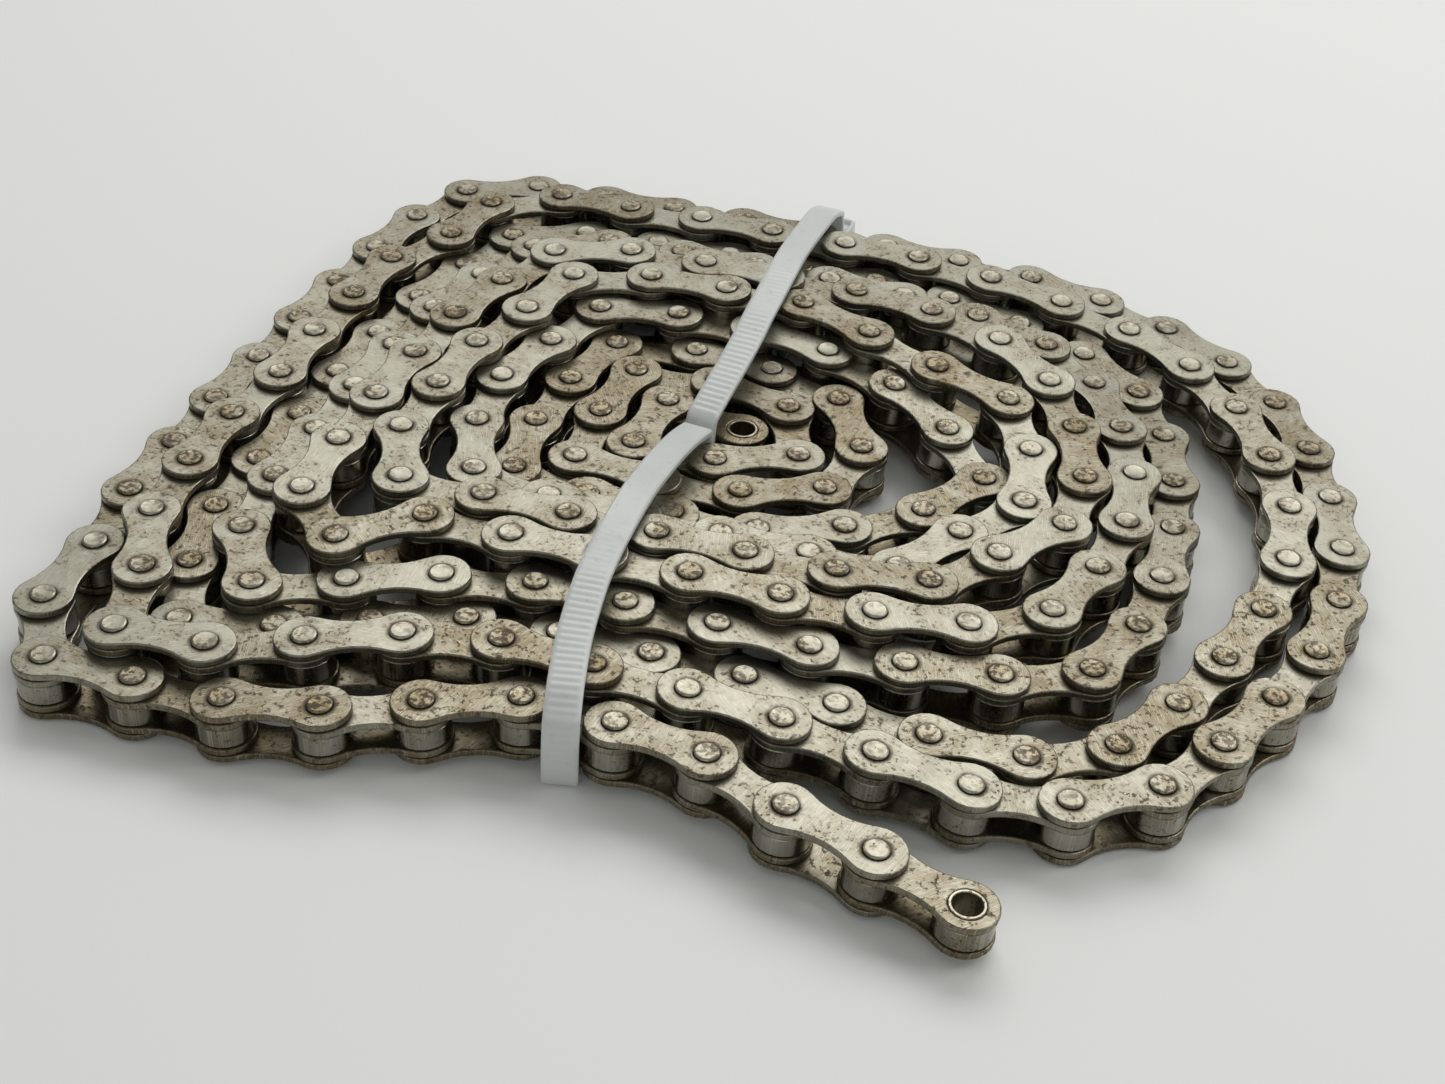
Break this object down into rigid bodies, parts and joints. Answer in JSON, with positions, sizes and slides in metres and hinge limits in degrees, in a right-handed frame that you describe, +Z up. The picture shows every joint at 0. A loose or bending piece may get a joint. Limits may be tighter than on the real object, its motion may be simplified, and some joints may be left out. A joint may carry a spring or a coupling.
{
  "type": "roller chain",
  "caption": "Half-inch-pitch nickel-plated roller chain, wound into a flat rounded coil and bundled with nylon cable ties; its free end folds and its rollers turn.",
  "frame": {"origin": "on the ground under the middle of the coil's box", "axes": "+Z up, the pins' direction; +X to the right and +Y to the back of the coil, with its free end at the front right"},
  "size_m": [0.1876, 0.1727, 0.0165],
  "materials": {
    "plate": "nickel-plated steel, used: fine scratches and brown grime",
    "pin": "riveted steel pin end, stained round its edge",
    "bush": "steel bush, oily",
    "roller": "smooth plated steel roller",
    "nylon": "natural nylon, slightly translucent"
  },
  "bodies": {
    "coil": {"tail_link_5_inner_plate_top": "plate", "tail_link_5_inner_plate_bottom": "plate", "tail_link_5_bush_a": "bush", "tail_link_5_bush_b": "bush", "centre_end_inner_plate_top": "plate", "centre_end_inner_plate_bottom": "plate", "centre_end_bush_a": "bush", "centre_end_bush_b": "bush", "coil_run_01": "plate", "coil_run_02": "plate", "coil_run_03": "plate", "coil_run_04": "plate", "coil_run_05": "plate", "coil_run_06": "plate", "coil_run_07": "plate", "coil_run_08": "plate", "coil_run_09": "plate", "coil_run_10": "plate", "coil_run_11": "plate", "coil_run_12": "plate", "coil_run_13": "plate", "coil_run_14": "plate", "coil_run_15": "plate", "coil_run_16": "plate", "coil_run_17": "plate", "coil_run_18": "plate", "coil_run_19": "plate", "coil_run_20": "plate", "coil_run_21": "plate", "coil_run_22": "plate", "coil_run_23": "plate", "front_cable_tie": "nylon", "rear_cable_tie": "nylon"},
    "tail_link_4": {"tail_link_4_outer_plate_top": "plate", "tail_link_4_outer_plate_bottom": "plate", "tail_link_4_pin_a": "pin", "tail_link_4_pin_b": "pin"},
    "tail_link_3": {"tail_link_3_inner_plate_top": "plate", "tail_link_3_inner_plate_bottom": "plate", "tail_link_3_bush_a": "bush", "tail_link_3_bush_b": "bush"},
    "tail_link_2": {"tail_link_2_outer_plate_top": "plate", "tail_link_2_outer_plate_bottom": "plate", "tail_link_2_pin_a": "pin", "tail_link_2_pin_b": "pin"},
    "tail_link_1": {"tail_link_1_inner_plate_top": "plate", "tail_link_1_inner_plate_bottom": "plate", "tail_link_1_bush_a": "bush", "tail_link_1_bush_b": "bush"},
    "tail_link_1_roller_a": {"tail_link_1_roller_a": "roller"},
    "tail_link_1_roller_b": {"tail_link_1_roller_b": "roller"},
    "tail_link_3_roller_a": {"tail_link_3_roller_a": "roller"},
    "tail_link_3_roller_b": {"tail_link_3_roller_b": "roller"},
    "tail_link_5_roller_a": {"tail_link_5_roller_a": "roller"},
    "tail_link_5_roller_b": {"tail_link_5_roller_b": "roller"},
    "centre_end_roller_a": {"centre_end_roller_a": "roller"},
    "centre_end_roller_b": {"centre_end_roller_b": "roller"}
  },
  "joints": [
    {"name": "tail_pin_4_hinge", "type": "hinge", "parent": "coil", "child": "tail_link_4", "pos_m": [-0.01222, -0.05711, 0.0057], "axis": [0.0146, -0.0052, 0.9999], "range_deg": [-40, 0]},
    {"name": "tail_pin_3_hinge", "type": "hinge", "parent": "tail_link_4", "child": "tail_link_3", "pos_m": [-0.00027, -0.06139, 0.0055], "axis": [0.0146, -0.0052, 0.9999], "range_deg": [-40, 0]},
    {"name": "tail_pin_2_hinge", "type": "hinge", "parent": "tail_link_3", "child": "tail_link_2", "pos_m": [0.00979, -0.06914, 0.00513], "axis": [0.0319, -0.0175, 0.9993], "range_deg": [-40, 8]},
    {"name": "tail_pin_1_hinge", "type": "hinge", "parent": "tail_link_2", "child": "tail_link_1", "pos_m": [0.02093, -0.07523, 0.00466], "axis": [0.0319, -0.0175, 0.9993], "range_deg": [-40, 20]},
    {"name": "tail_link_1_roller_a_spin", "type": "hinge", "parent": "tail_link_1", "child": "tail_link_1_roller_a", "pos_m": [0.03193, -0.08159, 0.0043], "axis": [0.0246, -0.0142, 0.9996], "continuous": true},
    {"name": "tail_link_1_roller_b_spin", "type": "hinge", "parent": "tail_link_1", "child": "tail_link_1_roller_b", "pos_m": [0.02094, -0.07524, 0.00466], "axis": [0.0246, -0.0142, 0.9996], "continuous": true},
    {"name": "tail_link_3_roller_a_spin", "type": "hinge", "parent": "tail_link_3", "child": "tail_link_3_roller_a", "pos_m": [0.00979, -0.06914, 0.00513], "axis": [0.0233, -0.0179, 0.9996], "continuous": true},
    {"name": "tail_link_3_roller_b_spin", "type": "hinge", "parent": "tail_link_3", "child": "tail_link_3_roller_b", "pos_m": [-0.00027, -0.06139, 0.0055], "axis": [0.0233, -0.0179, 0.9996], "continuous": true},
    {"name": "tail_link_5_roller_a_spin", "type": "hinge", "parent": "coil", "child": "tail_link_5_roller_a", "pos_m": [-0.01222, -0.05711, 0.0057], "axis": [0.0001, 0, 1], "continuous": true},
    {"name": "tail_link_5_roller_b_spin", "type": "hinge", "parent": "coil", "child": "tail_link_5_roller_b", "pos_m": [-0.02443, -0.0536, 0.0057], "axis": [0.0001, 0, 1], "continuous": true},
    {"name": "centre_end_roller_a_spin", "type": "hinge", "parent": "coil", "child": "centre_end_roller_a", "pos_m": [-0.01029, 0.0169, 0.00569], "axis": [-0.0006, 0.0002, 1], "continuous": true},
    {"name": "centre_end_roller_b_spin", "type": "hinge", "parent": "coil", "child": "centre_end_roller_b", "pos_m": [0.00146, 0.01209, 0.0057], "axis": [-0.0006, 0.0002, 1], "continuous": true}
  ]
}
